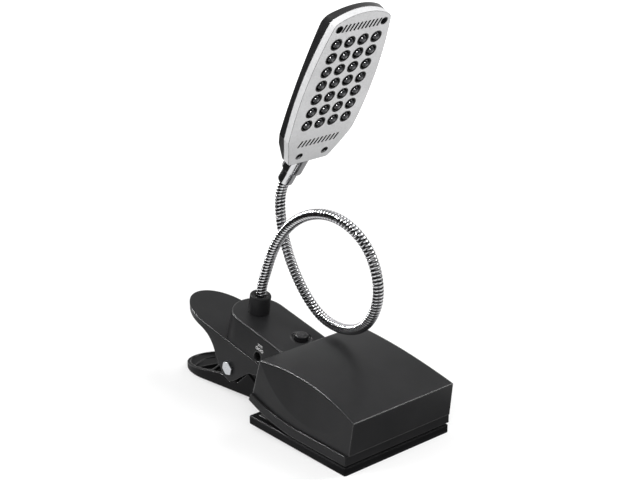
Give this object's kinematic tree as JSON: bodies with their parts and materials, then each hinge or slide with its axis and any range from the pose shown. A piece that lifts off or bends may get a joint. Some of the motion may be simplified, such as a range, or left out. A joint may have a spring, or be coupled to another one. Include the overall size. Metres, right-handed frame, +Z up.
{
  "type": "clip-on reading lamp",
  "caption": "Clip-on reading lamp: sprung clip with a battery box and switch housing, a looped chrome gooseneck and a paddle-shaped LED head with a silver bezel.",
  "frame": {"origin": "under the middle of the standing lamp's box, on the surface it stands on", "axes": "+Z up, +X forward to the mouth of the jaws, +Y to the lamp's left"},
  "size_m": [0.1956, 0.08, 0.2494],
  "materials": {
    "black_plastic": "fine matte texture",
    "rubber_pad": "matte",
    "bright_steel": "zinc plated",
    "spring_steel": "satin",
    "chrome_neck": "bright wound strip",
    "silver_plastic": "silver lacquer, fine grain",
    "cell_can": "plain satin sleeve",
    "contact_plate": "nickel plated",
    "board_green": "solder mask",
    "lens_clear": "clear epoxy",
    "socket_black": "moulded"
  },
  "bodies": {
    "lower_clip": {"lower_jaw": "black_plastic", "lower_grip_pad": "rubber_pad", "pivot_bolt": "bright_steel", "pivot_nut": "bright_steel", "torsion_spring": "spring_steel"},
    "upper_clip": {"upper_jaw": "black_plastic", "upper_grip_pad": "rubber_pad", "switch_housing": "black_plastic", "neck_gland": "black_plastic", "gland_nut": "bright_steel", "switch_module": "socket_black", "dc_socket": "socket_black", "control_board": "board_green", "battery_tray": "black_plastic", "battery_cells": "cell_can", "battery_contacts": "contact_plate", "housing_screws": "bright_steel", "neck_01": "chrome_neck"},
    "power_button": {"power_button": "black_plastic"},
    "battery_cover": {"battery_cover": "black_plastic"},
    "neck_link_02": {"neck_02": "chrome_neck"},
    "neck_link_03": {"neck_03": "chrome_neck"},
    "neck_link_04": {"neck_04": "chrome_neck"},
    "neck_link_05": {"neck_05": "chrome_neck"},
    "neck_link_06": {"neck_06": "chrome_neck"},
    "neck_link_07": {"neck_07": "chrome_neck"},
    "neck_link_08": {"neck_08": "chrome_neck"},
    "neck_link_09": {"neck_09": "chrome_neck"},
    "neck_link_10": {"neck_10": "chrome_neck"},
    "neck_link_11": {"neck_11": "chrome_neck"},
    "neck_link_12": {"neck_12": "chrome_neck"},
    "neck_link_13": {"neck_13": "chrome_neck"},
    "neck_link_14": {"neck_14": "chrome_neck"},
    "neck_link_15": {"neck_15": "chrome_neck"},
    "neck_link_16": {"neck_16": "chrome_neck"},
    "neck_link_17": {"neck_17": "chrome_neck"},
    "neck_link_18": {"neck_18": "chrome_neck"},
    "neck_link_19": {"neck_19": "chrome_neck"},
    "neck_link_20": {"neck_20": "chrome_neck"},
    "neck_link_21": {"neck_21": "chrome_neck"},
    "lamp_head": {"neck_22": "chrome_neck", "neck_ferrule": "chrome_neck", "ferrule_nut": "bright_steel", "head_bezel": "silver_plastic", "head_shell": "black_plastic", "led_holder": "black_plastic", "led_board": "board_green", "led_lamps": "lens_clear", "head_screws": "spring_steel"}
  },
  "joints": [
    {"name": "clip_open", "type": "hinge", "parent": "lower_clip", "child": "upper_clip", "pos_m": [-0.03748, 0, 0.01786], "axis": [0, -1, 0], "range_deg": [0, 24], "stiffness_Nm_per_rad": 0.8, "springref_deg": -57.3, "deforming": ["torsion_spring"]},
    {"name": "button_press", "type": "slide", "parent": "upper_clip", "child": "power_button", "axis": [-0.2216, 0, -0.9751], "range_m": [0, 0.0015], "stiffness_N_per_m": 400},
    {"name": "cover_slide", "type": "slide", "parent": "upper_clip", "child": "battery_cover", "axis": [0.999, 0, -0.0436], "range_m": [0, 0.09]},
    {"name": "neck_lean", "type": "hinge", "parent": "upper_clip", "child": "neck_link_02", "pos_m": [-0.02305, 0, 0.07389], "axis": [0, 1, 0], "range_deg": [-8, 0.3]},
    {"name": "neck_sway", "type": "hinge", "parent": "neck_link_02", "child": "neck_link_03", "pos_m": [-0.01745, 0, 0.0862], "axis": [0.9139, 0, -0.4059], "range_deg": [-0.3, 8]},
    {"name": "neck_lean_2", "type": "hinge", "parent": "neck_link_03", "child": "neck_link_04", "pos_m": [-0.00986, 0, 0.09963], "axis": [0, 1, 0], "range_deg": [-8, 0.3]},
    {"name": "neck_sway_2", "type": "hinge", "parent": "neck_link_04", "child": "neck_link_05", "pos_m": [0.00043, 0.00025, 0.1117], "axis": [0.6918, 0, -0.7221], "range_deg": [-0.3, 8]},
    {"name": "loop_curl", "type": "hinge", "parent": "neck_link_05", "child": "neck_link_06", "pos_m": [0.01335, 0.00075, 0.12114], "axis": [0, 1, 0], "range_deg": [0, 2]},
    {"name": "loop_curl_2", "type": "hinge", "parent": "neck_link_06", "child": "neck_link_07", "pos_m": [0.02861, 0.00125, 0.12673], "axis": [0, 1, 0], "range_deg": [0, 2]},
    {"name": "loop_curl_3", "type": "hinge", "parent": "neck_link_07", "child": "neck_link_08", "pos_m": [0.04439, 0.002, 0.12704], "axis": [0, 1, 0], "range_deg": [0, 2]},
    {"name": "loop_curl_4", "type": "hinge", "parent": "neck_link_08", "child": "neck_link_09", "pos_m": [0.0584, 0.00325, 0.12118], "axis": [0, 1, 0], "range_deg": [0, 2]},
    {"name": "loop_curl_5", "type": "hinge", "parent": "neck_link_09", "child": "neck_link_10", "pos_m": [0.06789, 0.00475, 0.1095], "axis": [0, 1, 0], "range_deg": [0, 2]},
    {"name": "loop_curl_6", "type": "hinge", "parent": "neck_link_10", "child": "neck_link_11", "pos_m": [0.07074, 0.0065, 0.09436], "axis": [0, 1, 0], "range_deg": [0, 2]},
    {"name": "loop_curl_7", "type": "hinge", "parent": "neck_link_11", "child": "neck_link_12", "pos_m": [0.06682, 0.0085, 0.07927], "axis": [0, 1, 0], "range_deg": [0, 2]},
    {"name": "loop_curl_8", "type": "hinge", "parent": "neck_link_12", "child": "neck_link_13", "pos_m": [0.05752, 0.01075, 0.06666], "axis": [0, 1, 0], "range_deg": [0, 2]},
    {"name": "loop_curl_9", "type": "hinge", "parent": "neck_link_13", "child": "neck_link_14", "pos_m": [0.04461, 0.0135, 0.05772], "axis": [0, 1, 0], "range_deg": [0, 2]},
    {"name": "loop_curl_10", "type": "hinge", "parent": "neck_link_14", "child": "neck_link_15", "pos_m": [0.02963, 0.01625, 0.05262], "axis": [0, 1, 0], "range_deg": [0, 2]},
    {"name": "loop_curl_11", "type": "hinge", "parent": "neck_link_15", "child": "neck_link_16", "pos_m": [0.01434, 0.018, 0.05203], "axis": [0, 1, 0], "range_deg": [0, 2]},
    {"name": "loop_curl_12", "type": "hinge", "parent": "neck_link_16", "child": "neck_link_17", "pos_m": [0.00133, 0.018, 0.05786], "axis": [0, 1, 0], "range_deg": [0, 2]},
    {"name": "head_nod", "type": "hinge", "parent": "neck_link_17", "child": "neck_link_18", "pos_m": [-0.00742, 0.016, 0.0695], "axis": [0, 1, 0], "range_deg": [-8, 6]},
    {"name": "head_sway", "type": "hinge", "parent": "neck_link_18", "child": "neck_link_19", "pos_m": [-0.01231, 0.013, 0.08372], "axis": [0.9747, 0, 0.2236], "range_deg": [-8, 8]},
    {"name": "head_nod_2", "type": "hinge", "parent": "neck_link_19", "child": "neck_link_20", "pos_m": [-0.0149, 0.0105, 0.09885], "axis": [0, 1, 0], "range_deg": [-8, 6]},
    {"name": "head_sway_2", "type": "hinge", "parent": "neck_link_20", "child": "neck_link_21", "pos_m": [-0.01575, 0.009, 0.11365], "axis": [1, 0, -0.008], "range_deg": [-8, 8]},
    {"name": "head_nod_3", "type": "hinge", "parent": "neck_link_21", "child": "lamp_head", "pos_m": [-0.01454, 0.0085, 0.12661], "axis": [0, 1, 0], "range_deg": [-8, 6]}
  ],
  "couplings": [
    {"joint": "neck_lean_2", "follows": "neck_lean", "ratio": 1},
    {"joint": "neck_sway_2", "follows": "neck_sway", "ratio": 1},
    {"joint": "loop_curl_2", "follows": "loop_curl", "ratio": 1},
    {"joint": "loop_curl_3", "follows": "loop_curl", "ratio": 1},
    {"joint": "loop_curl_4", "follows": "loop_curl", "ratio": 1},
    {"joint": "loop_curl_5", "follows": "loop_curl", "ratio": 1},
    {"joint": "loop_curl_6", "follows": "loop_curl", "ratio": 1},
    {"joint": "loop_curl_7", "follows": "loop_curl", "ratio": 1},
    {"joint": "loop_curl_8", "follows": "loop_curl", "ratio": 1},
    {"joint": "loop_curl_9", "follows": "loop_curl", "ratio": 1},
    {"joint": "loop_curl_10", "follows": "loop_curl", "ratio": 1},
    {"joint": "loop_curl_11", "follows": "loop_curl", "ratio": 1},
    {"joint": "loop_curl_12", "follows": "loop_curl", "ratio": 1},
    {"joint": "head_nod_2", "follows": "head_nod", "ratio": 1},
    {"joint": "head_sway_2", "follows": "head_sway", "ratio": 1},
    {"joint": "head_nod_3", "follows": "head_nod", "ratio": 1}
  ]
}
